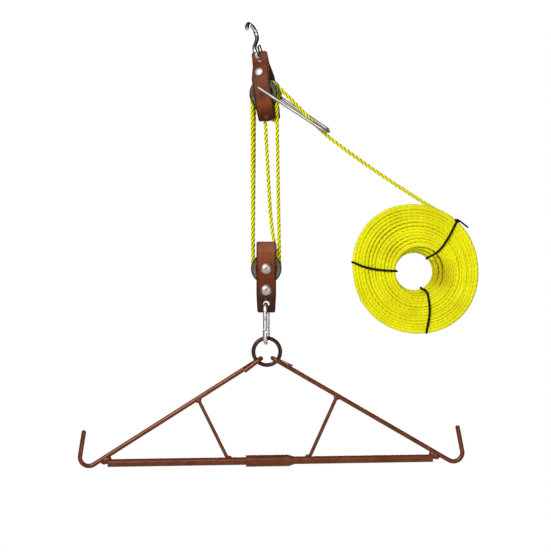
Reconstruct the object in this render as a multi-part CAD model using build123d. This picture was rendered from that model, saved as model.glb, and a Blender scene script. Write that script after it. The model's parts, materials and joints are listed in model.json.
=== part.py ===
from build123d import *
from math import acos, atan2, cos, degrees, hypot, radians, sin, sqrt, tan
import os

# A hanging 4:1 block-and-tackle hoist with a folding two-piece gambrel. Millimetres, +Z up.
# The origin is the point where the S-hook bears on the support: the inner top of its upper bend.

# Stock sizes
HOOK_WIRE = 3.5          # radius of the S-hook's wire
PLATE = 2.5              # side plate thickness
PLATE_OPEN_END = 41.0    # sheave axle to the plate's sheave end
ROPE = 3.0               # rope radius
ROPE_TURN = 20.25        # radius of the rope's centre line on a sheave
SHEAVE_RIM = 23.3
SHEAVE_WIDTH = 8.0
AXLE = 4.0
BUSH = 6.0               # outer radius of a sheave's bush
HALF_GAP = 9.0           # middle of a block to the inner face of a side plate
SHEAVE_SIDE = 4.4        # middle of a block to the middle of a sheave
PIN_FIT = 0.05           # clearance of a running fit
BAIL_WIRE = 2.5
SNAP_WIRE = 3.5
RING_RADIUS = 20.4       # centre line
RING_WIRE = 3.1
ROD = 3.5                # radius of the gambrel's hook rods
TUBE = 6.0               # outer radius of the gambrel's crossbar tubes
STRUT = 2.7

# Places
BLOCK_YAW = 24.0         # the upper block and the S-hook are turned about the vertical
BLOCK_TILT = 9.5         # the upper block leans, as the haul line pulls it aside
UPPER_AXLE = Vector(23.7, -10.5, -103.1)
LOWER_AXLE = Vector(24.8, -10.5, -368.6)
RING_CENTRE = Vector(25.7, -10.5, -494.9)
GAMBREL_TILT = 0.9       # the gambrel hangs this much out of level, right end up

AXIS_OUT = Vector(sin(radians(BLOCK_YAW)), cos(radians(BLOCK_YAW)), 0)     # along the upper axle, to the rear
ACROSS = Vector(cos(radians(BLOCK_YAW)), -sin(radians(BLOCK_YAW)), 0)      # across the upper block, level

UPPER_BLOCK = Pos(*UPPER_AXLE) * Rot(0, 0, -BLOCK_YAW) * Rot(0, -BLOCK_TILT, 0)
LOWER_BLOCK = Pos(*LOWER_AXLE) * Rot(0, 180, 0)
GAMBREL = Pos(*RING_CENTRE) * Rot(0, -GAMBREL_TILT, 0)

os.makedirs("parts", exist_ok=True)


def save(name, shape):
    """Write one node, as one solid or as a compound of separate solids."""
    solids = shape.solids()
    export_step(solids[0] if len(solids) == 1 else Compound(solids), f"parts/{name}.step")


def rod(path, radius):
    """A round bar along a path."""
    start = path.position_at(0)
    section = Plane(start, z_dir=path.tangent_at(0)) * Circle(radius)
    return sweep(section, path)


def bent_rod(points, bend_radii, radius):
    """A round bar along straight runs joined by tangent arcs."""
    return rod(FilletPolyline(*points, radius=bend_radii), radius)


def cylinder_between(start, end, radius):
    start, end = Vector(start), Vector(end)
    run = end - start
    return extrude(Plane(start, z_dir=run) * Circle(radius), run.length)


def disc(y_low, y_high, radius, bore=0.0, x=0.0, z=0.0):
    """A disc or a washer whose axis is parallel to Y."""
    shape = Pos(x, y_low, z) * Rot(-90, 0, 0) * Cylinder(
        radius, y_high - y_low, align=(Align.CENTER, Align.CENTER, Align.MIN))
    if bore:
        shape -= Pos(x, y_low - 1, z) * Rot(-90, 0, 0) * Cylinder(
            bore, y_high - y_low + 2, align=(Align.CENTER, Align.CENTER, Align.MIN))
    return shape


# ---------------------------------------------------------------- S-hook
UPPER_HOLE, UPPER_HOLE_RADIUS = 54.3, 4.3     # sheave axle to the S-hook's hole, and its radius
LOWER_HOLE, LOWER_HOLE_RADIUS = 54.0, 4.7     # the same for the snap hook's hole
UPPER_HOOK = 15.0        # centre line radius of the S-hook's upper bend
LOWER_HOOK = 10.5
TIP_ANGLE = 158.0        # where the upper bend starts, above the level
FREE_END = 12.0          # the straight end behind the block
REST_GAP = 0.6           # the wire is curved, so its middle stays this far off the end of the hole


def upper_point(x, y, z):
    """A point given in the upper block's own frame, as a point in the part's frame."""
    return (UPPER_BLOCK * Pos(x, y, z)).position


HOOK_BEND = upper_point(0, 0, UPPER_HOLE + UPPER_HOLE_RADIUS - HOOK_WIRE - REST_GAP)   # wire centre, low bend


def make_s_hook():
    """The wire runs from the upper tip over the top, crosses over, and goes under and through the hole."""
    up = -HOOK_BEND
    reach = up.length + HOOK_WIRE            # bend centre line to bend centre line, end to end
    frame = Plane(HOOK_BEND, x_dir=AXIS_OUT, z_dir=AXIS_OUT.cross(up))
    high, low = reach - UPPER_HOOK, LOWER_HOOK            # the two bend centres
    slant = degrees(acos((UPPER_HOOK + LOWER_HOOK) / (high - low)))
    turn_high, turn_low = -90 + slant, 90 + slant         # where the straight crossing leaves each bend

    def on_bend(centre, radius, angle):
        return radius * cos(radians(angle)), centre + radius * sin(radians(angle))

    upper_bend = CenterArc((0, high), UPPER_HOOK, TIP_ANGLE, turn_high - TIP_ANGLE)
    crossing = Line(on_bend(high, UPPER_HOOK, turn_high), on_bend(low, LOWER_HOOK, turn_low))
    lower_bend = CenterArc((0, low), LOWER_HOOK, turn_low, 360 - turn_low)
    free_end = Line((LOWER_HOOK, low), (LOWER_HOOK, low + FREE_END))
    path = frame * Wire([upper_bend, crossing, lower_bend, free_end])
    hook = rod(path, HOOK_WIRE)
    ends = [edge for tip in (path.position_at(0), path.position_at(1))
            for edge in hook.edges().filter_by(GeomType.CIRCLE) if (edge.arc_center - tip).length < 0.01]
    return chamfer(ends, 1.4)


save("s_hook", make_s_hook())


# ---------------------------------------------------------------- side plates
UPPER_JOGGLE = (24.0, 45.0)   # where a plate leaves the sheaves' width and where it meets its twin
LOWER_JOGGLE = (40.5, 50.0)
UPPER_OUTLINE = (14.2, 11.8, 65.0)    # half width, half width at the hook end, sheave axle to the hook end
LOWER_OUTLINE = (15.0, 13.5, 67.0)
OPEN_BEND, OPEN_DRAW = 24.5, 3.0      # beyond the sheave each cheek leans in, by this much at its end
PLATES_APART = 0.15       # half the gap between the plates where they meet
UPPER_RIVET_AT = (-2.4, 34.6)         # from the sheave axle
CLAMP_BOLT = 32.5         # sheave axle to the lower block's second bolt
BECKET = (0.0, -35.5)     # the pin that holds the rope's dead end
BECKET_PIN = 3.5
BAIL_PIVOT = (-5.0, 11.0)   # in the upper block's own frame
RIVET = 3.5


def side_plate(joggle, outline, hole, side, bores):
    """One cheek of a block: parallel beside the sheaves, then drawn in to meet its twin at the hook end."""
    far, near = HALF_GAP + PLATE / 2, PLATES_APART + PLATE / 2
    joggle_start, joggle_end = joggle
    half_open, half_hook, hook_end = outline
    over = 5.0
    draw = OPEN_DRAW * (PLATE_OPEN_END + over - OPEN_BEND) / (PLATE_OPEN_END - OPEN_BEND)
    fold = FilletPolyline((far - draw, -PLATE_OPEN_END - over), (far, -OPEN_BEND), (far, joggle_start),
                          (near, joggle_end), (near, hook_end + over), radius=5)
    strip = extrude(Plane.YZ * trace(fold, PLATE), half_open + over, both=True)
    corners = [(-half_open, -PLATE_OPEN_END), (half_open, -PLATE_OPEN_END), (half_open, joggle_start),
               (half_hook, hook_end), (-half_hook, hook_end), (-half_open, joggle_start)]
    face = make_face(Polyline(*corners, close=True))
    face = fillet([v for v in face.vertices() if abs(v.Y - joggle_start) > 1], 3.2)
    plate = strip & extrude(Plane.XZ * face, 40, both=True)
    hole_at, hole_radius = hole
    rim = 0.7
    outer_face = near + PLATE / 2
    plate -= disc(-1, far, hole_radius, z=hole_at)
    plate -= Pos(0, outer_face + 0.01, hole_at) * Rot(90, 0, 0) * Cone(
        hole_radius + rim, hole_radius, rim, align=(Align.CENTER, Align.CENTER, Align.MIN))
    for x, z, radius in bores:
        plate -= disc(HALF_GAP - 12, far + PLATE, radius, x=x, z=z)
    if side < 0:
        plate = mirror(plate, about=Plane.XZ)
    return plate


for name, side in (("front", -1), ("rear", 1)):
    upper_plate = side_plate(UPPER_JOGGLE, UPPER_OUTLINE, (UPPER_HOLE, UPPER_HOLE_RADIUS), side, [
        (0, 0, AXLE), (*UPPER_RIVET_AT, RIVET), (*BECKET, BECKET_PIN), (*BAIL_PIVOT, BAIL_WIRE + PIN_FIT)])
    lower_plate = side_plate(LOWER_JOGGLE, LOWER_OUTLINE, (LOWER_HOLE, LOWER_HOLE_RADIUS), side, [
        (0, 0, AXLE), (0, CLAMP_BOLT, AXLE)])
    save(f"upper_plate_{name}", UPPER_BLOCK * upper_plate)
    save(f"lower_plate_{name}", LOWER_BLOCK * lower_plate)

# ---------------------------------------------------------------- upper block's fasteners
PLATE_OUT = HALF_GAP + PLATE
FLUSH = 0.25              # a riveted-over end stands this proud


def make_upper_axle():
    """A pin through both plates with low riveted-over ends."""
    pin = disc(-PLATE_OUT, PLATE_OUT, AXLE)
    for side in (-1, 1):
        low, high = sorted((side * PLATE_OUT, side * (PLATE_OUT + FLUSH)))
        pin += disc(low, high, AXLE + 1.2)
    return pin


def make_becket_pin():
    """A plain pin through the leaning ends of the plates."""
    reach = PLATE_OUT - OPEN_DRAW * (-BECKET[1] - OPEN_BEND) / (PLATE_OPEN_END - OPEN_BEND) + FLUSH
    return disc(-reach, reach, BECKET_PIN, x=BECKET[0], z=BECKET[1])


save("upper_axle", UPPER_BLOCK * make_upper_axle())
save("becket_pin", UPPER_BLOCK * make_becket_pin())


def make_upper_rivet():
    """The bright rivet that draws the sloping cheeks together; its domed heads lie on the slope."""
    run, fall = UPPER_JOGGLE[1] - UPPER_JOGGLE[0], HALF_GAP - PLATES_APART
    slope = degrees(atan2(fall, run))
    across, rise = UPPER_RIVET_AT
    middle = HALF_GAP + PLATE / 2 - fall * (rise - UPPER_JOGGLE[0]) / run
    outer = middle + PLATE / 2 / cos(radians(slope))
    rivet = disc(-outer, outer, RIVET - 0.02, x=across, z=rise)
    dome, height = 9.5, 2.8
    base = Cylinder(6.2, height, align=(Align.CENTER, Align.CENTER, Align.MIN))
    head = base & Pos(0, 0, height - dome) * Sphere(dome)
    for side in (-1, 1):
        place = Pos(across, side * (outer + 0.02), rise) * Rot(-side * (90 - slope), 0, 0)
        rivet += place * head
    return rivet


save("upper_rivet", UPPER_BLOCK * make_upper_rivet())


# ---------------------------------------------------------------- bolts of the lower block
def pan_head_bolt(z, turned):
    """A pan-head cross-recess bolt; its head is on the front plate and its end stands out of the rear nut."""
    head_radius, head_height, shank_end = 8.4, 4.6, PLATE_OUT + 9.5
    profile = make_face([Line((0, 0), (head_radius, 0)), Line((head_radius, 0), (head_radius, 1.4)),
                         ThreePointArc((head_radius, 1.4), (5.6, 3.9), (0, head_height)),
                         Line((0, head_height), (0, 0))])
    head = Pos(0, -PLATE_OUT, 0) * Rot(90, 0, 0) * revolve(Plane.XZ * profile, Axis.Z)
    wing = Box(8.0, 1.5, 6.0)
    recess = Pos(0, -PLATE_OUT - head_height + 0.6, 0) * Rot(90, 0, 0) * Rot(0, 0, turned) * (
        (wing + Rot(0, 0, 90) * wing) & Cone(1.0, 4.4, 6.0))
    return Pos(0, 0, z) * (head - recess + disc(-PLATE_OUT, shank_end, AXLE))


def hex_nut(z):
    blank = extrude(Plane.XZ * RegularPolygon(7.4, 6), -6.4)
    blank = Pos(0, PLATE_OUT, 0) * (blank & disc(0, 6.4, 7.2))
    return Pos(0, 0, z) * (blank - disc(PLATE_OUT - 1, PLATE_OUT + 8, AXLE))


# The lower block is turned over about Y, so a place below its axle is a positive one here.
save("lower_axle_bolt", LOWER_BLOCK * pan_head_bolt(0, 20))
save("lower_clamp_bolt", LOWER_BLOCK * pan_head_bolt(CLAMP_BOLT, 50))
save("lower_nuts", LOWER_BLOCK * (hex_nut(0) + hex_nut(CLAMP_BOLT)))
save("lower_spacer_tube", LOWER_BLOCK * disc(-HALF_GAP, HALF_GAP, 6.0, AXLE, z=CLAMP_BOLT))


# ---------------------------------------------------------------- sheaves, bushes and washers
def make_sheave():
    """A grooved wheel about Y, centred on the origin, with a shallow dished web and a bore for its bush."""
    half, groove = SHEAVE_WIDTH / 2, ROPE + 0.4
    lip = 0.15
    profile = make_face([
        Line((BUSH, -half), (9.0, -half)), Line((9.0, -half), (9.8, -half + 0.9)),
        Line((9.8, -half + 0.9), (15.2, -half + 0.9)), Line((15.2, -half + 0.9), (16.0, -half)),
        Line((16.0, -half), (SHEAVE_RIM - 0.2, -half)),
        Line((SHEAVE_RIM - 0.2, -half), (SHEAVE_RIM, -half + lip)),
        Line((SHEAVE_RIM, -half + lip), (ROPE_TURN, -groove)),
        ThreePointArc((ROPE_TURN, -groove), (ROPE_TURN - groove, 0), (ROPE_TURN, groove)),
        Line((ROPE_TURN, groove), (SHEAVE_RIM, half - lip)),
        Line((SHEAVE_RIM, half - lip), (SHEAVE_RIM - 0.2, half)),
        Line((SHEAVE_RIM - 0.2, half), (16.0, half)), Line((16.0, half), (15.2, half - 0.9)),
        Line((15.2, half - 0.9), (9.8, half - 0.9)), Line((9.8, half - 0.9), (9.0, half)),
        Line((9.0, half), (BUSH, half)), Line((BUSH, half), (BUSH, -half))])
    return revolve(Plane.XY * profile, Axis.Y)


def washers():
    """The thrust washers beside the sheaves and the one between them."""
    outer, inner = SHEAVE_SIDE + SHEAVE_WIDTH / 2 + PIN_FIT, SHEAVE_SIDE - SHEAVE_WIDTH / 2 - PIN_FIT
    limits = ((PIN_FIT - HALF_GAP, -outer), (-inner, inner), (outer, HALF_GAP - PIN_FIT))
    stack = [disc(low, high, 9.0, AXLE + PIN_FIT) for low, high in limits]
    return Compound([solid for washer in stack for solid in washer.solids()])


SHEAVE = make_sheave()
BUSH_SOLID = disc(-SHEAVE_WIDTH / 2, SHEAVE_WIDTH / 2, BUSH, AXLE + PIN_FIT)
for block, place in (("upper", UPPER_BLOCK), ("lower", LOWER_BLOCK)):
    for name, side in (("front", -1), ("rear", 1)):
        here = place * Pos(0, side * SHEAVE_SIDE, 0)
        save(f"{block}_sheave_{name}", here * SHEAVE)
        save(f"{block}_bush_{name}", here * BUSH_SOLID)
    save(f"{block}_washers", place * washers())

# ---------------------------------------------------------------- bail, the wire lever on the haul line
BAIL_LENGTH = 132.0
BAIL_ANGLE = 31.6         # below level, where it lies on the haul line
BAIL_SPREAD = PLATE_OUT + 0.6 + BAIL_WIRE   # middle of the block to a leg at the pivot
BAIL_NOSE = 11.0          # half the distance between the legs at the closed end


def make_bail():
    """A U of wire; its ends are bent in through the side plates, and its legs draw in to the nose."""
    pivot = upper_point(BAIL_PIVOT[0], 0, BAIL_PIVOT[1])
    along = ACROSS * cos(radians(BAIL_ANGLE)) - Vector(0, 0, sin(radians(BAIL_ANGLE)))
    frame = Plane(pivot, x_dir=along, z_dir=along.cross(AXIS_OUT))
    inner = HALF_GAP + 0.3
    nose = BAIL_LENGTH - BAIL_WIRE
    points = [(0, inner), (0, BAIL_SPREAD), (28, BAIL_SPREAD), (nose, BAIL_NOSE),
              (nose, -BAIL_NOSE), (28, -BAIL_SPREAD), (0, -BAIL_SPREAD), (0, -inner)]
    path = frame * FilletPolyline(*points, radius=[2.9, 40, BAIL_NOSE - 1.0, BAIL_NOSE - 1.0, 40, 2.9])
    return rod(path, BAIL_WIRE)


save("bail", make_bail())

# ---------------------------------------------------------------- rope
HAUL_ANGLE = 40.4         # below level, in the plane of the rear upper sheave
ENTRY_ANGLE = 14.9        # the first fall comes in to the lower front sheave at this angle
TRAVEL_GAP = 0.5          # the falls end this far above the lower block's rope


def turn(centre, across, start, sweep_angle):
    """Rope on a sheave, an arc in the plane of a level direction and Z. Angles start at the level."""
    plane = Plane(centre, x_dir=across, z_dir=across.cross(Vector(0, 0, 1)))
    return rod(plane * CenterArc((0, 0), ROPE_TURN, start, sweep_angle), ROPE)


def on_turn(centre, across, angle):
    level, rise = ROPE_TURN * cos(radians(angle)), ROPE_TURN * sin(radians(angle))
    return centre + across * level + Vector(0, 0, rise)


U_FRONT, U_REAR = UPPER_AXLE - AXIS_OUT * SHEAVE_SIDE, UPPER_AXLE + AXIS_OUT * SHEAVE_SIDE
LEVEL = Vector(1, 0, 0)
L_FRONT, L_REAR = LOWER_AXLE - Vector(0, SHEAVE_SIDE, 0), LOWER_AXLE + Vector(0, SHEAVE_SIDE, 0)

save("upper_rope_turn_front", turn(U_FRONT, ACROSS, 0, 180))
save("upper_rope_turn_rear", turn(U_REAR, ACROSS, 90 - HAUL_ANGLE, 90 + HAUL_ANGLE))
save("lower_rope_turn_front", turn(L_FRONT, LEVEL, 180, 180 + ENTRY_ANGLE))
save("lower_rope_turn_rear", turn(L_REAR, LEVEL, 180, 180))

# Dead end: an eye round the becket pin, closed by a knot between the plates.
EYE = BECKET_PIN + 0.3 + ROPE
becket = Pos(BECKET[0], 0, BECKET[1])
knot = Sphere(3.9) + Pos(-1.6, 1.6, -2.4) * Sphere(3.0) + Pos(0.2, 2.4, 2.6) * Sphere(2.8)
save("dead_end_knot", UPPER_BLOCK * becket * (Rot(90, 0, 0) * Torus(EYE, ROPE) + Pos(6.4, 0.7, -3.8) * knot))

becket_centre = upper_point(BECKET[0], 0, BECKET[1])
FIRST_FALL = [becket_centre - ACROSS * EYE, Vector(28.3, -11.0, -240), Vector(33.4, -12.0, -319)]
first_end = on_turn(L_FRONT, LEVEL, ENTRY_ANGLE)
aim = (first_end - FIRST_FALL[-1]).normalized()
save("rope_fall_1", bent_rod([*FIRST_FALL, first_end - aim * TRAVEL_GAP], 300, ROPE))
straight_falls = {"rope_fall_2": (on_turn(U_FRONT, ACROSS, 180), on_turn(L_FRONT, LEVEL, 180)),
                  "rope_fall_3": (on_turn(U_FRONT, ACROSS, 0), on_turn(L_REAR, LEVEL, 0)),
                  "rope_fall_4": (on_turn(U_REAR, ACROSS, 180), on_turn(L_REAR, LEVEL, 180))}
for name, (top, bottom) in straight_falls.items():
    down = (bottom - top).normalized()
    save(name, cylinder_between(top, bottom - down * TRAVEL_GAP, ROPE))

# Haul line, from the rear upper sheave through the bail to the coil. The points are chosen by hand.
HAUL = [on_turn(U_REAR, ACROSS, 90 - HAUL_ANGLE),
        Vector(62.5, -23.1, -111.3), Vector(86.5, -33.8, -137.3), Vector(113.5, -45.5, -165.5),
        Vector(146.0, -59.5, -190.3), Vector(192.0, -78.5, -223.2), Vector(240.0, -95.0, -255.3),
        Vector(286.5, -104.5, -284.4)]


def corner_radii(points):
    """For each corner, nearly the largest arc that its two runs leave room for."""
    radii = []
    for before, here, after in zip(points, points[1:], points[2:]):
        first, second = here - before, after - here
        angle = first.get_angle(second)
        radii.append(0.45 * min(first.length, second.length) / tan(radians(angle / 2)))
    return radii


save("haul_line", bent_rod(HAUL, corner_radii(HAUL), ROPE))

# Coil: its outer shape, round an open middle that sits a little low and to the left.
COIL = Vector(249.3, -112.0, -369.3)
COIL_HALF = (94.2, 96.8)
COIL_EYE = 27.5
COIL_EYE_AT = (-2.5, -3.8)
TIE_GAP = 0.5             # a tie's clearance to the coil
COIL_DEPTH = 25.0
outline = Ellipse(*COIL_HALF) - Pos(*COIL_EYE_AT) * Circle(COIL_EYE)
coil = extrude(Plane.XZ * outline, COIL_DEPTH / 2, both=True)
coil = fillet(coil.edges().group_by(Axis.Y)[0] + coil.edges().group_by(Axis.Y)[-1], 5.0)
save("rope_coil", Pos(*COIL) * coil)


def coil_tie(angle):
    """A thin tie round the coil's section, at an angle above +X."""
    level, rise = cos(radians(angle)), sin(radians(angle))
    outer = COIL_HALF[0] * COIL_HALF[1] / hypot(COIL_HALF[1] * level, COIL_HALF[0] * rise) + TIE_GAP
    along = COIL_EYE_AT[0] * level + COIL_EYE_AT[1] * rise
    low = along + sqrt(COIL_EYE ** 2 - hypot(*COIL_EYE_AT) ** 2 + along ** 2) - TIE_GAP
    length, depth = outer - low, COIL_DEPTH + 2 * TIE_GAP
    section = RectangleRounded(length + 3.2, depth + 3.2, 4.6) - RectangleRounded(length, depth, 3.0)
    return Pos(*COIL) * Rot(0, -angle, 0) * Pos((outer + low) / 2, 0, 0) * extrude(section, 1.6, both=True)


for name, angle in (("top", 48.0), ("left", 172.0), ("bottom", 282.0)):
    save(f"coil_tie_{name}", coil_tie(angle))

# ---------------------------------------------------------------- snap hook
SNAP_YAW = 80.0           # the snap hook's plane is nearly edge-on to the front
SNAP_HALF = 10.0          # centre of the snap hook to its spine
snap_top = LOWER_AXLE.Z - LOWER_HOLE - (LOWER_HOLE_RADIUS - HOOK_WIRE - REST_GAP)
SNAP_LENGTH = 58.0        # bend centre line to bend centre line
SNAP = Pos(LOWER_AXLE.X, LOWER_AXLE.Y, snap_top) * Rot(0, 0, SNAP_YAW)
GATE_PIVOT = -16.0
GATE_END = -37.2
NOSE = -40.4              # the middle of the nose's slanting end
NOSE_SLANT = 40.0
GATE_WIRE = 3.3


def make_snap_body():
    """The spine and both bends in one wire, with a slanting nose and a flat tongue for the gate's pin."""
    bend = SNAP_HALF
    path = FilletPolyline((-bend, GATE_PIVOT + 5.0), (-bend, 0), (bend, 0), (bend, -SNAP_LENGTH),
                          (-bend, -SNAP_LENGTH), (-bend, NOSE + 5), radius=[bend - 0.6] * 4)
    body = rod(Plane.XZ * path, SNAP_WIRE)
    body -= Pos(-bend, 0, NOSE) * Rot(NOSE_SLANT, 0, 0) * Pos(0, 0, 5) * Box(9, 14, 10)
    tongue = Pos(-bend, 0, GATE_PIVOT + 2.2) * Box(5.2, 2.0, 9.6)
    return body + tongue - disc(-5, 5, 1.2, x=-bend, z=GATE_PIVOT)


def make_gate():
    """The gate: a bar with a fork at its pivot; it swings in towards the spine."""
    top, bottom = GATE_PIVOT + 3.4, GATE_END
    bar = Pos(-SNAP_HALF, 0, (top + bottom) / 2) * Cylinder(GATE_WIRE, top - bottom)
    slot = Pos(-SNAP_HALF, 0, top - 4.4) * Box(20, 2.5, 14.4)
    bore = disc(-5, 5, 1.2 + PIN_FIT, x=-SNAP_HALF, z=GATE_PIVOT)
    return bar - slot - bore


def make_gate_spring():
    """A strip of spring wire in the gate's slot."""
    return cylinder_between((-SNAP_HALF, 0, GATE_PIVOT - 8.0), (-SNAP_HALF, 0, GATE_PIVOT - 3.4), 0.7)


save("snap_body", SNAP * make_snap_body())
save("snap_gate", SNAP * make_gate())
save("snap_gate_pin", SNAP * disc(-GATE_WIRE + 0.2, GATE_WIRE - 0.2, 1.2, x=-SNAP_HALF, z=GATE_PIVOT))
save("snap_gate_spring", SNAP * make_gate_spring())

# ---------------------------------------------------------------- ring
save("ring", Pos(*RING_CENTRE) * Rot(90, 0, 0) * Torus(RING_RADIUS, RING_WIRE))

# ---------------------------------------------------------------- gambrel
CROSSBAR = -165.7         # the crossbar's centre line, below the ring's centre
EYE_AT = Vector(15.05, 0, -13.7)      # where the right rod's eye holds the ring's wire
EYE_HALF = 7.4            # ring wire's centre to the centre line of the eye
REACH = {"left": 249.5, "right": 254.5}       # ring's centre to the rod's joint on the crossbar
HOOK_CORNER = {"left": 291.5, "right": 299.5}
HOOK_TIP_RISE, HOOK_TIP_LEAN, HOOK_BEND_RADIUS = 68.0, 12.0, 13.4
TAIL_RISE = {"left": -2.8, "right": 2.8}      # how far above the rod's line the tail ends
ROD_JOINT = -157.4
STRUT_TOP, STRUT_FOOT = 106.0, 60.2           # the strut's ends, out from the ring's centre
SOCKET = 7.55             # radius of the sleeve's open socket
SLEEVE = 9.0


def arm_frame(side):
    """An arm is drawn as the right one. The left one is the same arm turned about the vertical."""
    return GAMBREL * Rot(0, 0, 180) if side == "left" else GAMBREL


def rod_line(side):
    """The hook rod's direction, from its eye to its joint with the crossbar."""
    return (Vector(REACH[side], 0, ROD_JOINT) - EYE_AT).normalized()


def make_hook_rod(side):
    """Tail, eye round the ring's wire, long straight run and the upturned hook, bent from one rod."""
    line = rod_line(side)
    lift = Vector(-line.Z, 0, line.X)
    depth = Vector(0, 1, 0)

    def at(along, back, rise=0.0):
        return EYE_AT + line * along + depth * back + lift * rise

    run = (HOOK_CORNER[side] - EYE_AT.X) / line.X
    corner = at(run, 0)
    tip = corner + Vector(-HOOK_TIP_LEAN, 0, HOOK_TIP_RISE)
    points = [at(25, 7.3, TAIL_RISE[side]), at(-EYE_HALF, EYE_HALF), at(-EYE_HALF, -EYE_HALF),
              at(6.5, -EYE_HALF), at(17, 0), corner, tip]
    bar = bent_rod(points, [7.3, 7.3, 9, 9, HOOK_BEND_RADIUS], ROD)
    end = [edge for edge in bar.edges().filter_by(GeomType.CIRCLE) if (edge.arc_center - tip).length < 0.01]
    return chamfer(end, 1.6, 2.0)


def blob(centre, radii, pitch):
    """A weld bead: a stretched ball."""
    return Pos(*centre) * Rot(0, pitch, 0) * scale(Sphere(1), radii)


def make_welds(side):
    """The beads that join the rod, the tube, the strut and the rod's own tail."""
    line = rod_line(side)
    pitch = degrees(atan2(-line.Z, line.X))
    on_rod = EYE_AT + line * ((STRUT_TOP - EYE_AT.X) / line.X)
    beads = [blob((REACH[side] - 2.5, 0, (ROD_JOINT + CROSSBAR) / 2 + 0.5), (9.0, 5.2, 5.8), pitch),
             blob((STRUT_TOP - 1.2, 0, on_rod.Z - 3.4), (5.0, 3.4, 3.0), pitch),
             blob((STRUT_FOOT + 0.4, 0, CROSSBAR + TUBE + 0.5), (4.8, 3.6, 2.4), 0),
             blob(EYE_AT + line * 21 + Vector(0, 3.6, 0.36 * TAIL_RISE[side]), (4.5, 3.0, 2.6), pitch)]
    return Compound([solid for bead in beads for solid in bead.solids()])


def make_strut(side):
    line = rod_line(side)
    top = EYE_AT + line * ((STRUT_TOP - EYE_AT.X) / line.X)
    foot = Vector(STRUT_FOOT, 0, CROSSBAR)
    up = (top - foot).normalized()
    return cylinder_between(foot + up * (TUBE + 2.2), top - up * (ROD + 0.6), STRUT)


def tube(side):
    """A crossbar tube about X."""
    x_start, x_end = TUBE_ENDS[side]
    length = x_end - x_start
    stock = Cylinder(TUBE, length) - Cylinder(TUBE - TUBE_WALL[side], length + 2)
    return Pos((x_start + x_end) / 2, 0, CROSSBAR) * Rot(0, 90, 0) * stock


TUBE_ENDS = {"left": (27.4, REACH["left"] - 4.6), "right": (-12.0, REACH["right"] - 4.6)}
TUBE_WALL = {"left": 2.0, "right": 1.45}      # the short left arm has the thicker tube and hangs level
for side in ("left", "right"):
    frame = arm_frame(side)
    save(f"{side}_hook_rod", frame * make_hook_rod(side))
    save(f"{side}_crossbar_tube", frame * tube(side))
    save(f"{side}_strut", frame * make_strut(side))
    save(f"{side}_welds", frame * make_welds(side))


def make_sleeve():
    """The centre sleeve: welded to the right tube, with an open socket for the left one."""
    profile = make_face(Polyline(
        (-34.4, SOCKET), (-34.4, SLEEVE - 0.4), (-34.0, SLEEVE), (31.0, SLEEVE),
        (38.0, TUBE + 0.5), (38.0, TUBE), (-18.0, TUBE), (-18.0, SOCKET), close=True))
    return Pos(0, 0, CROSSBAR) * revolve(profile, Axis.X)


save("crossbar_sleeve", GAMBREL * make_sleeve())
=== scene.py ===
"""A hanging 4:1 rope hoist with a folding gambrel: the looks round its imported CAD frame.

Metres, in the CAD frame: +Z up, +X to the hoist's right, +Y to its rear, with the origin where the
S-hook bears on its support.
"""

import json
import math

import bpy
import numpy as np
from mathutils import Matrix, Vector


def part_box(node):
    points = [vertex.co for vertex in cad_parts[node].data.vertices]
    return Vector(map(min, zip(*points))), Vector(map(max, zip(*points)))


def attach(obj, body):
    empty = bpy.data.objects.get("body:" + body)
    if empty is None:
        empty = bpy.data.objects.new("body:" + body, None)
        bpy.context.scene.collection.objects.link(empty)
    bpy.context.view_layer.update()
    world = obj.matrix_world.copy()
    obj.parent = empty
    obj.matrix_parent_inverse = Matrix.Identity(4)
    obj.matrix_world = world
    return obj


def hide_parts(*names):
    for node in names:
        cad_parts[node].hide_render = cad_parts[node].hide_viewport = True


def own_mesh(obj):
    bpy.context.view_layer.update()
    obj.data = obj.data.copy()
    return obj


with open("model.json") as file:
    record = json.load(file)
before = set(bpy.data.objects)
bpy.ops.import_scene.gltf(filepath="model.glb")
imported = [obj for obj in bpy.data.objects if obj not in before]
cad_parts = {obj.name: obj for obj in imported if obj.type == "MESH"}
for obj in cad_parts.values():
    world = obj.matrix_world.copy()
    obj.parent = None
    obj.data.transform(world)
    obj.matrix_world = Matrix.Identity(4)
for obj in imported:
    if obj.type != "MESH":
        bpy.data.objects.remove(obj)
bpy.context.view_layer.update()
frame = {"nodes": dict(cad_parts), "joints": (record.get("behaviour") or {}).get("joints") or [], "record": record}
nodes = frame["nodes"]
joints = {joint["name"]: joint for joint in frame["joints"]}

MM = 0.001

# ------------------------------------------------------------------ camera, light and stage
VIEW_CENTRE = Vector((0.0388, -0.0105, -0.380))   # middle of the picture, on the gambrel's plane
VIEW_HEIGHT = 0.8390                              # what the picture's height takes in there
CAMERA_AWAY = 10.0
SENSOR = 36.0
FLOOR_Z = -1.15
FLOOR_RADIUS = 2.6
# Each lamp's place from the view's centre in metres, its width in metres and its power in watts
LAMPS = {
    "key": ((-1.3, -2.9, 1.5), 1.5, 92),
    "fill": ((1.5, -3.2, 0.2), 1.8, 26),
    "rear": ((0.9, 3.2, 0.7), 2.2, 70),
}
# How bright the room is from below to above, from front to rear and from left to right
ROOM_ABOVE = [(0.0, 0.12), (0.40, 0.08), (0.50, 0.30), (0.64, 0.85), (1.0, 1.0)]
ROOM_AHEAD = [(0.0, 1.0), (0.35, 0.75), (0.52, 0.16), (1.0, 0.10)]
ROOM_SIDEWAYS = [(0.0, 1.0), (0.50, 0.80), (0.66, 0.26), (1.0, 0.20)]


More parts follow.
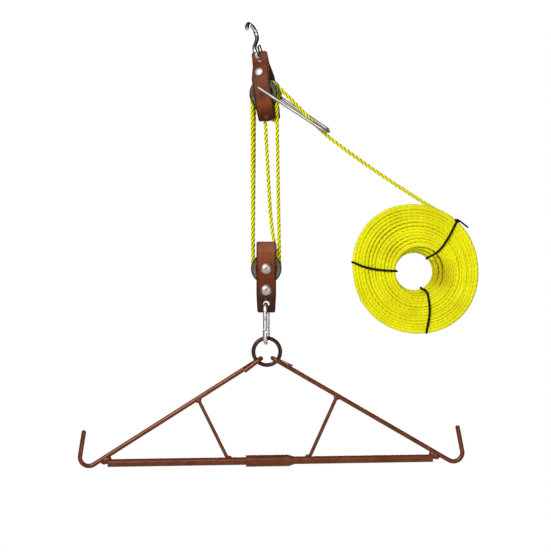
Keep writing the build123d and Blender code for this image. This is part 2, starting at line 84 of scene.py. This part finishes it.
def add_camera():
    data = bpy.data.cameras.new("camera")
    data.sensor_fit = "AUTO"
    data.sensor_width = SENSOR
    data.lens = SENSOR * CAMERA_AWAY / VIEW_HEIGHT
    data.clip_end = 60
    camera = bpy.data.objects.new("camera", data)
    bpy.context.scene.collection.objects.link(camera)
    camera.location = VIEW_CENTRE + Vector((0, -CAMERA_AWAY, 0))
    camera.rotation_euler = (math.radians(90), 0, 0)
    bpy.context.scene.camera = camera


def add_area(name, place, target, size, power):
    data = bpy.data.lights.new(name, "AREA")
    data.shape = "DISK"
    data.size = size
    data.energy = power
    light = bpy.data.objects.new(name, data)
    bpy.context.scene.collection.objects.link(light)
    light.location = place
    light.rotation_euler = (Vector(target) - Vector(place)).to_track_quat("-Z", "Y").to_euler()


def add_world():
    """White where the camera sees it. The rest is a room that is bright above, in front and to the left."""
    world = bpy.data.worlds.new("studio")
    bpy.context.scene.world = world
    world.use_nodes = True
    tree = world.node_tree
    tree.nodes.clear()
    out = tree.nodes.new("ShaderNodeOutputWorld")
    mix = tree.nodes.new("ShaderNodeMixShader")
    seen = tree.nodes.new("ShaderNodeBackground")
    seen.inputs["Color"].default_value = (1, 1, 1, 1)
    room = tree.nodes.new("ShaderNodeBackground")
    path = tree.nodes.new("ShaderNodeLightPath")
    where = tree.nodes.new("ShaderNodeTexCoord")
    split = tree.nodes.new("ShaderNodeSeparateXYZ")
    tree.links.new(where.outputs["Generated"], split.inputs["Vector"])
    above = value_curve(tree, split.outputs["Z"], ROOM_ABOVE)
    ahead = value_curve(tree, split.outputs["Y"], ROOM_AHEAD)
    sideways = value_curve(tree, split.outputs["X"], ROOM_SIDEWAYS)
    level = maths(tree, "MULTIPLY", maths(tree, "MULTIPLY", above, ahead), sideways)
    tree.links.new(level, room.inputs["Strength"])
    tree.links.new(path.outputs["Is Camera Ray"], mix.inputs["Fac"])
    tree.links.new(room.outputs["Background"], mix.inputs[1])
    tree.links.new(seen.outputs["Background"], mix.inputs[2])
    tree.links.new(mix.outputs["Shader"], out.inputs["Surface"])


def value_curve(tree, source, stops):
    """A direction's component, from -1 to 1, turned into a level by a ramp with stops from 0 to 1."""
    share = value_range(tree, source, -1, 1, 0, 1)
    return ramp(tree, share, [(place, (level, level, level)) for place, level in stops])


def add_stage():
    bpy.ops.mesh.primitive_circle_add(vertices=96, radius=FLOOR_RADIUS, fill_type="NGON",
                                      location=(0.03, 0, FLOOR_Z))
    floor = bpy.context.object
    floor.name = "floor"
    floor.data.materials.append(plain("floor_white", (0.9, 0.9, 0.9), 0.9))
    for name, (offset, size, power) in LAMPS.items():
        add_area(name, VIEW_CENTRE + Vector(offset), VIEW_CENTRE, size, power)


# ------------------------------------------------------------------ material helpers
def material(name):
    made = bpy.data.materials.new(name)
    made.use_nodes = True
    shader = made.node_tree.nodes["Principled BSDF"]
    return made, made.node_tree, shader


def plain(name, colour, roughness):
    made, _, shader = material(name)
    shader.inputs["Base Color"].default_value = (*colour, 1)
    shader.inputs["Roughness"].default_value = roughness
    return made


def add_node(tree, kind, **values):
    """A node, with its named inputs or properties set."""
    node = tree.nodes.new(kind)
    for key, value in values.items():
        label = key.replace("_", " ")
        if label in node.inputs:
            node.inputs[label].default_value = value
        else:
            setattr(node, key, value)
    return node


def noise(tree, scale, detail, source="Object", stretch=None, roughness=0.5):
    """Noise in the object's own space, or along its UV map, stretched as asked."""
    where = add_node(tree, "ShaderNodeTexCoord")
    texture = add_node(tree, "ShaderNodeTexNoise", Scale=scale, Detail=detail, Roughness=roughness)
    link = where.outputs[source]
    if stretch:
        mapping = add_node(tree, "ShaderNodeMapping")
        mapping.inputs["Scale"].default_value = stretch
        tree.links.new(link, mapping.inputs["Vector"])
        link = mapping.outputs["Vector"]
    tree.links.new(link, texture.inputs["Vector"])
    return texture.outputs["Fac"]


def ramp(tree, source, stops):
    """A colour ramp; each stop is a place and a linear colour."""
    node = add_node(tree, "ShaderNodeValToRGB")
    while len(node.color_ramp.elements) < len(stops):
        node.color_ramp.elements.new(0.5)
    for element, (place, colour) in zip(node.color_ramp.elements, stops):
        element.position = place
        element.color = (*colour, 1)
    tree.links.new(source, node.inputs["Fac"])
    return node.outputs["Color"]


def value_range(tree, source, low, high, to_low, to_high):
    node = add_node(tree, "ShaderNodeMapRange", From_Min=low, From_Max=high, To_Min=to_low, To_Max=to_high)
    tree.links.new(source, node.inputs["Value"])
    return node.outputs["Result"]


def maths(tree, operation, first, second=0.0):
    node = add_node(tree, "ShaderNodeMath", operation=operation)
    for socket, value in zip(node.inputs, (first, second)):
        if isinstance(value, (int, float)):
            socket.default_value = value
        else:
            tree.links.new(value, socket)
    return node.outputs["Value"]


def bump(tree, shader, height, distance, strength):
    node = add_node(tree, "ShaderNodeBump", Strength=strength, Distance=distance)
    tree.links.new(height, node.inputs["Height"])
    tree.links.new(node.outputs["Normal"], shader.inputs["Normal"])


# ------------------------------------------------------------------ materials
def brown_paint(name, light, dark, rough, shades=(), metallic=0.0):
    """Red-brown baked enamel, slightly uneven, with a soft orange peel. Painted shades, where given, multiply its
    colour.
    """
    made, tree, shader = material(name)
    shader.inputs["Metallic"].default_value = metallic
    colour = ramp(tree, noise(tree, 45, 3), [(0.30, dark), (0.70, light)])
    for direction, origin, reach, stops in shades:
        share = value_range(tree, distance_along(tree, direction, origin), *reach, 0, 1)
        colour = multiply(tree, colour, ramp(tree, share, stops))
    tree.links.new(colour, shader.inputs["Base Color"])
    patches = value_range(tree, noise(tree, 90, 3), 0.3, 0.7, rough, rough + 0.08)
    tree.links.new(patches, shader.inputs["Roughness"])
    shader.inputs["Specular IOR Level"].default_value = 0.30
    bump(tree, shader, noise(tree, 120, 2), 0.0001, 0.15)
    return made


def multiply(tree, first, second):
    node = add_node(tree, "ShaderNodeMix", data_type="RGBA", blend_type="MULTIPLY")
    node.inputs[0].default_value = 1
    tree.links.new(first, node.inputs[6])
    tree.links.new(second, node.inputs[7])
    return node.outputs[2]


def distance_along(tree, direction, origin):
    """How far a point lies from an origin along a direction, in metres."""
    where = add_node(tree, "ShaderNodeTexCoord")
    product = add_node(tree, "ShaderNodeVectorMath", operation="DOT_PRODUCT")
    product.inputs[1].default_value = tuple(direction)
    tree.links.new(where.outputs["Object"], product.inputs[0])
    return maths(tree, "SUBTRACT", product.outputs["Value"], float(np.dot(origin, direction)))


def plate_paint(name, axle, hook_eye, half_width, stops):
    """A block's cheeks, with painted shade along their cut edges and painted reflections and shade in bands along
    their length.
    """
    along = hook_eye - axle
    along = along / np.linalg.norm(along)
    across = np.cross(along, joint_axis(name + "_front_spin"))
    # Painted shade along the cheek's cut edges, dark at both sides of its width
    edge = [(0.0, (0.10, 0.06, 0.06)), (0.06, (0.55, 0.45, 0.45)), (0.12, (1, 1, 1)),
            (0.88, (1, 1, 1)), (0.94, (0.45, 0.36, 0.36)), (1.0, (0.08, 0.05, 0.05))]
    shades = [(along, axle, PLATE_REACH, stops), (across, axle, (-half_width, half_width), edge)]
    return brown_paint(name + "_plate_paint", (0.265, 0.070, 0.022), (0.205, 0.050, 0.014), 0.24, shades)


def zinc(name, tint, rough):
    """Bright zinc plate with darker, duller patches."""
    made, tree, shader = material(name)
    shader.inputs["Metallic"].default_value = 1
    low = tuple(c * 0.85 for c in tint)
    colour = ramp(tree, noise(tree, 70, 2), [(0.30, low), (0.65, tint)])
    tree.links.new(colour, shader.inputs["Base Color"])
    patches = value_range(tree, noise(tree, 60, 2), 0.3, 0.7, rough, rough + 0.08)
    tree.links.new(patches, shader.inputs["Roughness"])
    return made


SHEAVE_REACH = (12 * MM, 25 * MM)       # from an axle to where the painted shade on a sheave starts and ends
# Painted shade: darker inside the rim, where the cheeks overhang the sheave, and a dark line at the rim itself
SHEAVE_PAINTED_SHADE = [(0.0, (0.10, 0.08, 0.08)), (0.35, (0.35, 0.32, 0.30)), (0.62, (1, 1, 1)),
                 (0.80, (0.80, 0.80, 0.80)), (0.93, (0.06, 0.06, 0.06)), (0.97, (0.05, 0.05, 0.05)),
                 (1.0, (1, 1, 1))]


def sheave_metal():
    """A dull grey casting with an uneven bloom, with painted shade inside its rim, where the cheeks overhang it,
    and a painted dark line at its rim.
    """
    made, tree, shader = material("sheave_metal")
    shader.inputs["Metallic"].default_value = 0.85
    colour = ramp(tree, noise(tree, 80, 4), [(0.30, (0.09, 0.087, 0.055)), (0.70, (0.22, 0.22, 0.15))])
    for axle in (U_AXLE, L_AXLE):
        place = add_node(tree, "ShaderNodeVectorMath", operation="DISTANCE")
        place.inputs[1].default_value = tuple(axle)
        where = add_node(tree, "ShaderNodeTexCoord")
        tree.links.new(where.outputs["Object"], place.inputs[0])
        share = value_range(tree, place.outputs["Value"], *SHEAVE_REACH, 0, 1)
        colour = multiply(tree, colour, ramp(tree, share, SHEAVE_PAINTED_SHADE))
    tree.links.new(colour, shader.inputs["Base Color"])
    tree.links.new(value_range(tree, noise(tree, 160, 3), 0.3, 0.7, 0.26, 0.42), shader.inputs["Roughness"])
    bump(tree, shader, noise(tree, 400, 3), 0.00006, 0.4)
    return made


def bronze():
    made, tree, shader = material("bush_bronze")
    shader.inputs["Metallic"].default_value = 1
    colour = ramp(tree, noise(tree, 300, 4), [(0.3, (0.26, 0.15, 0.055)), (0.7, (0.48, 0.30, 0.12))])
    tree.links.new(colour, shader.inputs["Base Color"])
    shader.inputs["Roughness"].default_value = 0.42
    return made


# Painted shade on the coil's inner turns at the right of its hole, where they slope away into a funnel
FUNNEL_SHADE_OFFSET = (36.7 * MM, -6.0 * MM, -6.7 * MM)       # from the coil's centre
FUNNEL_SHADE_REACH = 28 * MM


def rope_fibre():
    """Twisted split-film polypropylene. The UV map runs round each strand and along the rope."""
    made, tree, shader = material("yellow_rope")
    where = add_node(tree, "ShaderNodeTexCoord")
    split = add_node(tree, "ShaderNodeSeparateXYZ")
    tree.links.new(where.outputs["UV"], split.inputs["Vector"])
    across = maths(tree, "FRACT", split.outputs["X"])               # 0 and 1 lie in the grooves
    from_crown = maths(tree, "ABSOLUTE", maths(tree, "SUBTRACT", across, 0.5))
    fibres = noise(tree, 1.0, 3, "UV", (26.0, 130.0, 1.0), 0.6)
    worn = noise(tree, 30, 3)
    uneven = maths(tree, "MULTIPLY", maths(tree, "SUBTRACT", fibres, 0.5), 0.14)
    # Painted shade darkens the grooves between strands on the falls and haul line, and hardly at all on the coil,
    # whose colour is also toned a little darker
    groove_shade_and_tone = value_range(tree, split.outputs["Y"], COIL_FROM - 0.25, COIL_FROM, 1.0, 0.42)
    depth = maths(tree, "MULTIPLY", maths(tree, "ADD", from_crown, uneven), groove_shade_and_tone)
    # Painted shade: the rope darkens to near black towards its grooves
    colour = ramp(tree, depth, [(0.0, (0.90, 0.90, 0.003)), (0.22, (0.80, 0.79, 0.002)),
                                (0.36, (0.48, 0.45, 0.002)), (0.46, (0.065, 0.060, 0.002))])
    tint = ramp(tree, worn, [(0.30, (0.86, 0.81, 0.70)), (0.62, (1.0, 1.0, 1.0))])
    # Painted shade round a point in the funnel at the right of the coil's hole
    place = add_node(tree, "ShaderNodeVectorMath", operation="DISTANCE")
    low, high = (Vector(corner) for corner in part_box(COIL_NODE))
    place.inputs[1].default_value = (low + high) / 2 + Vector(FUNNEL_SHADE_OFFSET)
    tree.links.new(where.outputs["Object"], place.inputs[0])
    funnel_shade = ramp(tree, value_range(tree, place.outputs["Value"], 0, FUNNEL_SHADE_REACH, 0, 1),
                  [(0.0, (0.58, 0.47, 0.5)), (0.45, (0.72, 0.63, 0.6)), (1.0, (1, 1, 1))])
    coiled = ramp(tree, groove_shade_and_tone, [(0.42, (0.86, 0.84, 0.60)), (1.0, (1.0, 1.0, 1.0))])
    colour = multiply(tree, multiply(tree, colour, tint), multiply(tree, funnel_shade, coiled))
    tree.links.new(colour, shader.inputs["Base Color"])
    shader.inputs["Roughness"].default_value = 0.5
    shader.inputs["Specular IOR Level"].default_value = 0.12
    bump(tree, shader, fibres, 0.0002, 0.5)
    return made


def black_plastic():
    made, tree, shader = material("black_tie")
    colour = ramp(tree, noise(tree, 400, 3), [(0.3, (0.001, 0.001, 0.001)), (0.7, (0.004, 0.003, 0.004))])
    tree.links.new(colour, shader.inputs["Base Color"])
    shader.inputs["Roughness"].default_value = 0.55
    shader.inputs["Specular IOR Level"].default_value = 0.12
    bump(tree, shader, noise(tree, 500, 3), 0.0001, 0.4)
    return made


# ------------------------------------------------------------------ rope
ROPE_SLOT = "yellow_rope"
ROPE_RADIUS = 3.0 * MM
ROPE_TURN = 20.25 * MM          # centre line on a sheave
LAY = 24 * MM                   # one full turn of a strand
STEP = 2.6 * MM                 # between the rope mesh's rings
STRANDS = 3
STRAND_SHARE = 0.45             # a strand's centre, as a share of the rope's radius
LOBE_POINTS = 5
COIL_FROM = 1.74                # metres of rope from its dead end to where the coil starts
COIL_RELIEF = 0.50              # how far the strands stand out there, against the worked rope


def strand_profile():
    """The rope's section, three round lobes that meet in grooves: each point's reach, bearing and place."""
    reaches, bearings, places = [], [], []
    offset, radius = STRAND_SHARE * ROPE_RADIUS, (1 - STRAND_SHARE) * ROPE_RADIUS
    for lobe in range(STRANDS):
        for i in range(LOBE_POINTS):
            share = i / LOBE_POINTS
            angle = math.radians(-60 + 120 * share)
            inside = offset * math.cos(angle)
            reach = inside + math.sqrt(inside ** 2 - offset ** 2 + radius ** 2)
            reaches.append(reach)
            bearings.append(angle + lobe * math.tau / STRANDS)
            places.append(lobe + share)
    return np.array(reaches), np.array(bearings), np.array(places)


def nurbs_line(points, resolution=10):
    """The smooth line that a spline draws from its control points."""
    data = bpy.data.curves.new("route", "CURVE")
    data.dimensions = "3D"
    data.resolution_u = resolution
    spline = data.splines.new("NURBS")
    spline.points.add(len(points) - 1)
    for point, place in zip(spline.points, points):
        point.co = (*place, 1)
    spline.order_u = 3
    spline.use_endpoint_u = True
    route = bpy.data.objects.new("route", data)
    mesh = bpy.data.meshes.new_from_object(route)
    line = np.array([vertex.co for vertex in mesh.vertices], float)
    bpy.data.meshes.remove(mesh)
    bpy.data.objects.remove(route)
    bpy.data.curves.remove(data)
    return line


def even(line):
    """The same line with evenly spaced points."""
    runs = np.linalg.norm(np.diff(line, axis=0), axis=1)
    along = np.concatenate([[0], np.cumsum(runs)])
    count = max(2, int(round(along[-1] / STEP)) + 1)
    wanted = np.linspace(0, along[-1], count)
    return np.stack([np.interp(wanted, along, line[:, k]) for k in range(3)], axis=1), along[-1]


def carried_normals(line, normal):
    """A normal carried along a line without twisting, from the one given at its start."""
    tangents = np.gradient(line, axis=0)
    tangents /= np.linalg.norm(tangents, axis=1)[:, None]
    normals = np.zeros_like(line)
    for i, tangent in enumerate(tangents):
        normal = normal - tangent * np.dot(normal, tangent)
        normal = normal / np.linalg.norm(normal)
        normals[i] = normal
    return tangents, normals


class Rope:
    """Rope laid piece by piece, so that each piece's strands go on from the last one's."""

    def __init__(self, normal):
        self.normal = np.array(normal, float)
        self.length = 0.0
        self.reaches, self.bearings, self.places = strand_profile()

    def lay(self, name, line):
        line, length = even(np.array(line, float))
        tangents, normals = carried_normals(line, self.normal)
        sides = np.cross(tangents, normals)
        rings, count = len(line), len(self.places)
        along = self.length + np.linspace(0, length, rings)
        turned = self.bearings[None, :] + (along / LAY * math.tau)[:, None]
        relief = np.interp(along, (COIL_FROM - 0.1, COIL_FROM), (1.0, COIL_RELIEF))[:, None]
        reach = self.reaches[None, :] * relief + ROPE_RADIUS * 0.97 * (1 - relief)
        x, y = reach * np.cos(turned), reach * np.sin(turned)
        points = line[:, None, :] + x[..., None] * normals[:, None, :] + y[..., None] * sides[:, None, :]
        places = np.concatenate([self.places, [STRANDS]])
        faces, uvs = [], []
        for i in range(rings - 1):
            for k in range(count):
                after = (k + 1) % count
                faces.append((i * count + k, i * count + after, (i + 1) * count + after, (i + 1) * count + k))
                uvs += [(places[k], along[i]), (places[k + 1], along[i]),
                        (places[k + 1], along[i + 1]), (places[k], along[i + 1])]
        faces.append(tuple(range(count - 1, -1, -1)))
        faces.append(tuple((rings - 1) * count + k for k in range(count)))
        uvs += [(0.5, 0.0)] * (2 * count)
        mesh = bpy.data.meshes.new(name)
        mesh.from_pydata(points.reshape(-1, 3).tolist(), [], faces)
        layer = mesh.uv_layers.new(name="UVMap")
        layer.data.foreach_set("uv", np.array(uvs, np.float32).ravel())
        mesh.polygons.foreach_set("use_smooth", [True] * len(faces))
        mesh.materials.append(MATERIALS[ROPE_SLOT])
        piece = bpy.data.objects.new(name, mesh)
        bpy.context.scene.collection.objects.link(piece)
        self.normal, self.length = normals[-1], along[-1]
        return piece, line, length


def joint_place(name):
    return np.array(joints[name]["pos_m"], float)


def joint_axis(name):
    return np.array(joints[name]["axis"], float)


UP = np.array((0.0, 0.0, 1.0))
LEVEL = np.array((1.0, 0.0, 0.0))
AXLE_OUT = joint_axis("upper_front_spin")
ACROSS = np.cross(AXLE_OUT, UP)
U_FRONT, U_REAR = joint_place("upper_front_spin"), joint_place("upper_rear_spin")
L_FRONT, L_REAR = joint_place("lower_front_spin"), joint_place("lower_rear_spin")
U_AXLE, L_AXLE = (U_FRONT + U_REAR) / 2, (L_FRONT + L_REAR) / 2
TURN_POINTS = 48
HAUL_ANGLE = 40.4               # degrees past the top of its sheave, where the haul line leaves it
ENTRY_ANGLE = 14.9              # degrees above the level, where the first fall meets its sheave
DEAD_EYE = 6.8 * MM             # the pin's centre to the rope's centre line, where the rope is made fast


def on_turn(centre, across, angle):
    """A point of the rope's centre line on a sheave, at an angle in degrees above the level direction."""
    turn = math.radians(angle)
    return centre + ROPE_TURN * (across * math.cos(turn) + UP * math.sin(turn))


def turn(centre, across, start, sweep):
    return [on_turn(centre, across, start + sweep * i / TURN_POINTS) for i in range(TURN_POINTS + 1)]


def lay_falls():
    """The rope from its dead end through all four falls and over the four sheaves to the haul line."""
    becket = (np.array(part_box("becket_pin")[0]) + np.array(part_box("becket_pin")[1])) / 2
    dead_end = becket - ACROSS * DEAD_EYE
    rope = Rope(AXLE_OUT)
    first = nurbs_line([dead_end, (0.0283, -0.0110, -0.240), (0.0334, -0.0120, -0.319),
                        on_turn(L_FRONT, LEVEL, ENTRY_ANGLE)])
    falls = [
        ("fall_1", "rope_fall_1", first),
        ("lower_turn_front", "lower_rope_turn_front", turn(L_FRONT, LEVEL, ENTRY_ANGLE, -180 - ENTRY_ANGLE)),
        ("fall_2", "rope_fall_2", [on_turn(L_FRONT, LEVEL, 180), on_turn(U_FRONT, ACROSS, 180)]),
        ("upper_turn_front", "upper_rope_turn_front", turn(U_FRONT, ACROSS, 180, -180)),
        ("fall_3", "rope_fall_3", [on_turn(U_FRONT, ACROSS, 0), on_turn(L_REAR, LEVEL, 0)]),
        ("lower_turn_rear", "lower_rope_turn_rear", turn(L_REAR, LEVEL, 0, -180)),
        ("fall_4", "rope_fall_4", [on_turn(L_REAR, LEVEL, 180), on_turn(U_REAR, ACROSS, 180)]),
        ("upper_turn_rear", "upper_rope_turn_rear", turn(U_REAR, ACROSS, 180, HAUL_ANGLE - 270)),
    ]
    for name, node, line in falls:
        piece, line, _ = rope.lay(name, line)
        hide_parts(node)
        if name.startswith("fall"):
            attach(piece, "upper_block")
            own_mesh(piece)
        else:
            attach(piece, name.split("_")[0] + "_block")
    lay_dead_end(becket)
    return rope


def lay_dead_end(becket):
    """The rope's end goes over the becket pin and is stopped by a knot on the pin's right."""
    over = [becket + DEAD_EYE * (ACROSS * math.cos(angle) + UP * math.sin(angle))
            for angle in np.linspace(math.pi, 0, 13)]
    knot = becket + ACROSS * 7.4 * MM - UP * 4.2 * MM
    wrap = []
    for i in range(19):
        angle = math.tau * i / 9
        wrap.append(knot + AXLE_OUT * 1.9 * MM * math.cos(angle) + UP * 1.9 * MM * math.sin(angle)
                    - ACROSS * (2.4 - 0.26 * i) * MM)
    piece, _, _ = Rope(AXLE_OUT).lay("dead_end", nurbs_line([*over, *wrap]))
    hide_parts("dead_end_knot")
    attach(piece, "upper_block")


# The haul line's route, from the rear upper sheave through the bail, as the CAD tube follows it
HAUL = [(0.0625, -0.0231, -0.1113), (0.0865, -0.0338, -0.1373), (0.1135, -0.0455, -0.1655),
        (0.1460, -0.0595, -0.1903), (0.1920, -0.0785, -0.2232), (0.2400, -0.0950, -0.2553),
        (0.2865, -0.1045, -0.2844)]

COIL_NODE = "rope_coil"
COIL_EYE = 27.5 * MM
COIL_EYE_OFF = (-2.5 * MM, -3.8 * MM)
LAYER_TURNS = (11.5, 11.0, 11.0, 14.1)   # from the rear layer to the front one, which is packed tightest
EYE_SLOPE = (0.0, 1.5 * MM, 5.0 * MM, 9.0 * MM)     # the hole opens to the right towards the front
CROSSING = 0.3                  # the share of a turn that it takes to change layers
POINTS_PER_TURN = 16
ROUNDING = 1 / math.cos(math.pi / POINTS_PER_TURN)   # a spline runs inside its control points
BULGE = 0.05                    # the outline is fuller at its upper left and lower right
COIL_START = 50.0               # where the haul line meets the outer turn, degrees above +X


def coil_route():
    """Four flat spirals, wound in and out in turn from the rear one, where the haul line comes in."""
    low, high = (np.array(corner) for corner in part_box(COIL_NODE))
    centre, half = (low + high) / 2, (high - low) / 2
    outer = half[[0, 2]] - ROPE_RADIUS
    depths = np.linspace(half[1] - ROPE_RADIUS, ROPE_RADIUS - half[1], len(LAYER_TURNS))
    places = []                 # turns so far, share of the way in, depth, slope of the eye
    turned = 0.0
    for layer, turns in enumerate(LAYER_TURNS):
        for i in range(round(turns * POINTS_PER_TURN) + 1):
            done = i / POINTS_PER_TURN
            way_in = min(max((done - 1) / (turns - 2), 0), 1)
            way_in = way_in if layer % 2 == 0 else 1 - way_in
            places.append((turned + done, way_in, depths[layer], EYE_SLOPE[layer]))
        turned = places[-1][0]
        if layer + 1 < len(LAYER_TURNS):
            steps = round(CROSSING * POINTS_PER_TURN)
            for i in range(1, steps):
                share = i / steps
                depth = depths[layer] * (1 - share) + depths[layer + 1] * share
                slope = EYE_SLOPE[layer] * (1 - share) + EYE_SLOPE[layer + 1] * share
                places.append((turned + i / POINTS_PER_TURN, way_in, depth, slope))
            turned += steps / POINTS_PER_TURN
    points = []
    for done, way_in, depth, slope in places:
        angle = math.radians(COIL_START) - math.tau * done
        direction = np.array((math.cos(angle), math.sin(angle)))
        edge = outer * direction * (1 + BULGE * max(0.0, -math.sin(2 * angle)))
        inner = (COIL_EYE + ROPE_RADIUS + slope) * direction
        loose = math.sin(math.pi * way_in)          # the middle turns lie a little unevenly
        wave = 0.7 * MM * loose * math.sin(2 * angle + 5.1 * done)
        flat = (edge * (1 - way_in) + inner * way_in) * ROUNDING + direction * wave
        flat = flat + (np.array(COIL_EYE_OFF) + (slope, 0.0)) * way_in
        y = depth + 0.9 * MM * loose * (1 + math.sin(angle + 2.3 * done))
        points.append((centre[0] + flat[0], centre[1] + y, centre[2] + flat[1]))
    return points


def lay_haul_line(rope):
    start = on_turn(U_REAR, ACROSS, 90 - HAUL_ANGLE)
    route = [tuple(start), *HAUL, *coil_route()]
    piece, line, length = rope.lay("haul_rope", nurbs_line(route, 8))
    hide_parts("haul_line", COIL_NODE)
    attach(piece, "upper_block")
    print("haul rope length", round(length, 3))
    return piece, line, tuple(start)


# Each tie's line over the coil's front face, in millimetres from the coil's centre, inner end first
TIES = {
    "top": [(18.0, 17.0), (28.0, 21.5), (38.0, 29.5), (50.5, 48.0), (61.0, 69.5)],
    "left": [(-29.8, -3.2), (-45.0, -2.6), (-63.0, -0.6), (-80.0, 3.6), (-92.4, 9.4)],
    "bottom": [(8.4, -30.0), (15.5, -31.5), (19.5, -42.0), (21.8, -62.0), (19.5, -80.0), (16.4, -93.6)],
}
TAIL = [(59.5, 71.0), (62.5, 74.0), (66.5, 72.0), (79.0, 62.0)]      # the top tie's loose end, past its knot
TIE_RADIUS = 1.75 * MM


def make_ties():
    """Plastic-coated wire, wrapped once round the coil's section."""
    low, high = (np.array(corner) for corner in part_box(COIL_NODE))
    centre = (low + high) / 2
    front, back = low[1] - 0.35 * MM, high[1] + 0.35 * MM
    made = []
    for name, flat in TIES.items():
        face = [(centre[0] + x * MM, front, centre[2] + z * MM) for x, z in flat]
        (x_in, _, z_in), (x_out, _, z_out) = face[0], face[-1]
        inward = np.array((x_in - x_out, 0, z_in - z_out))
        inward /= np.linalg.norm(inward)
        lip = inward * MM
        loop = [*face, tuple(np.array(face[-1]) - 2.6 * lip + (0, 2.5 * MM, 0)),
                tuple(np.array((x_out, back - 2.5 * MM, z_out)) - 2.6 * lip), (x_out, back, z_out),
                ((x_in + x_out) / 2, back, (z_in + z_out) / 2), (x_in, back, z_in),
                tuple(np.array((x_in, back - 2.5 * MM, z_in)) + 2.0 * lip),
                tuple(np.array((x_in, front + 2.5 * MM, z_in)) + 2.0 * lip)]
        tie = wire("tie_" + name, loop, TIE_RADIUS, "black_tie", closed=True)
        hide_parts("coil_tie_" + name)
        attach(tie, "upper_block")
        made.append(tie)
    tail = wire("tie_tail", [(centre[0] + x * MM, front - 1.0 * MM, centre[2] + z * MM) for x, z in TAIL],
                0.8 * TIE_RADIUS, "black_tie")
    knot_at = np.array((centre[0] + TAIL[1][0] * MM, front, centre[2] + (TAIL[1][1] - 1.5) * MM))
    coils = []
    for i in range(13):
        angle = math.tau * i / 6
        offset = np.array((0.5 * (i - 6), 1.9 * math.cos(angle), 1.9 * math.sin(angle))) * MM
        coils.append(tuple(knot_at + offset))
    knot = wire("tie_knot", coils, 0.8 * TIE_RADIUS, "black_tie")
    for piece in (tail, knot):
        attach(piece, "upper_block")
    return [*made, tail, knot]


def wire(name, points, radius, slot, closed=False):
    """A round wire along a smooth line."""
    data = bpy.data.curves.new(name, "CURVE")
    data.dimensions = "3D"
    data.resolution_u = 6
    data.bevel_depth = radius
    data.bevel_resolution = 3
    data.use_fill_caps = True
    spline = data.splines.new("NURBS")
    spline.points.add(len(points) - 1)
    for point, place in zip(spline.points, points):
        point.co = (*place, 1)
    spline.order_u = 3
    if closed:
        spline.use_cyclic_u = True
    else:
        spline.use_endpoint_u = True
    data.materials.append(MATERIALS[slot])
    made = bpy.data.objects.new(name, data)
    bpy.context.scene.collection.objects.link(made)
    return made


# ------------------------------------------------------------------ build
MATERIALS = {
    "brown_paint": brown_paint("brown_paint", (0.170, 0.044, 0.016), (0.105, 0.025, 0.009), 0.24,
                               metallic=0.40),
    "zinc_steel": zinc("zinc_steel", (0.55, 0.53, 0.50), 0.30),
    "sheave_metal": sheave_metal(),
    "bush_bronze": bronze(),
    "yellow_rope": rope_fibre(),
    "black_tie": black_plastic(),
}

# Finishes that differ from their slot's usual one
PLATE_REACH = (-41 * MM, 67 * MM)       # a cheek's open end and hook end, from the sheave axle
# Painted reflections and painted shade in bands along each block's cheeks, from the open end (0) to the hook end
# (1)
UPPER_PAINTED_LIGHT_BANDS = [(0.0, (0.10, 0.06, 0.05)), (0.10, (0.30, 0.20, 0.14)), (0.17, (0.55, 0.42, 0.30)),
               (0.24, (0.74, 0.66, 0.55)), (0.36, (0.52, 0.52, 0.66)), (0.60, (0.66, 0.74, 1.0)),
               (0.72, (0.55, 0.52, 0.55)), (0.82, (0.50, 0.30, 0.16)), (0.90, (0.75, 0.70, 0.75)),
               (1.0, (0.55, 0.50, 0.50))]
LOWER_PAINTED_LIGHT_BANDS = [(0.0, (0.62, 0.56, 0.45)), (0.10, (0.90, 0.86, 0.74)), (0.24, (0.80, 0.72, 0.58)),
               (0.38, (0.58, 0.45, 0.32)), (0.55, (0.43, 0.31, 0.22)), (0.72, (0.34, 0.23, 0.15)),
               (0.82, (0.20, 0.12, 0.10)), (1.0, (0.13, 0.08, 0.08))]
UPPER_PAINT = plate_paint("upper", U_AXLE, joint_place("block_swing"), 14.2 * MM, UPPER_PAINTED_LIGHT_BANDS)
LOWER_PAINT = plate_paint("lower", L_AXLE, joint_place("snap_swing"), 15.0 * MM, LOWER_PAINTED_LIGHT_BANDS)
BOLT_ZINC = zinc("bolt_zinc", (0.60, 0.52, 0.47), 0.42)
FINISHES = {
    "upper_plate_front": UPPER_PAINT,
    "upper_plate_rear": UPPER_PAINT,
    "lower_plate_front": LOWER_PAINT,
    "lower_plate_rear": LOWER_PAINT,
    "ring": brown_paint("ring_paint", (0.050, 0.016, 0.009), (0.026, 0.008, 0.004), 0.16, metallic=0.3),
    "lower_axle_bolt": BOLT_ZINC,
    "lower_clamp_bolt": BOLT_ZINC,
    "upper_rivet": zinc("rivet_zinc", (0.90, 0.90, 0.88), 0.55),
    "snap_body": zinc("snap_zinc", (0.74, 0.76, 0.72), 0.34),
    "snap_gate": zinc("gate_zinc", (0.72, 0.74, 0.70), 0.34),
    "bail": zinc("bail_zinc", (0.44, 0.39, 0.36), 0.45),
    "s_hook": zinc("hook_zinc", (0.58, 0.58, 0.56), 0.16),
}
EASED_NODES = ("upper_plate_front", "upper_plate_rear", "lower_plate_front", "lower_plate_rear")


def finish_nodes():
    """Every CAD node gets its material, and the plates' cut edges are eased, as enamel rounds them."""
    slot_of = {part["node"]: part["material_slot"] for part in frame["record"]["subparts"]}
    for name, node in nodes.items():
        node.data.materials.clear()
        node.data.materials.append(FINISHES.get(name, MATERIALS[slot_of[name]]))
    for name in EASED_NODES:
        ease = nodes[name].modifiers.new("eased_edges", "BEVEL")
        ease.width = 0.55 * MM
        ease.segments = 3
        ease.limit_method = "ANGLE"
        ease.angle_limit = math.radians(50)
        ease.harden_normals = True


add_camera()
add_world()
add_stage()
finish_nodes()
rope = lay_falls()
haul, haul_path, haul_exit = lay_haul_line(rope)
ties = make_ties()

scene = bpy.context.scene
scene.view_settings.view_transform = "Standard"
scene.view_settings.look = "None"
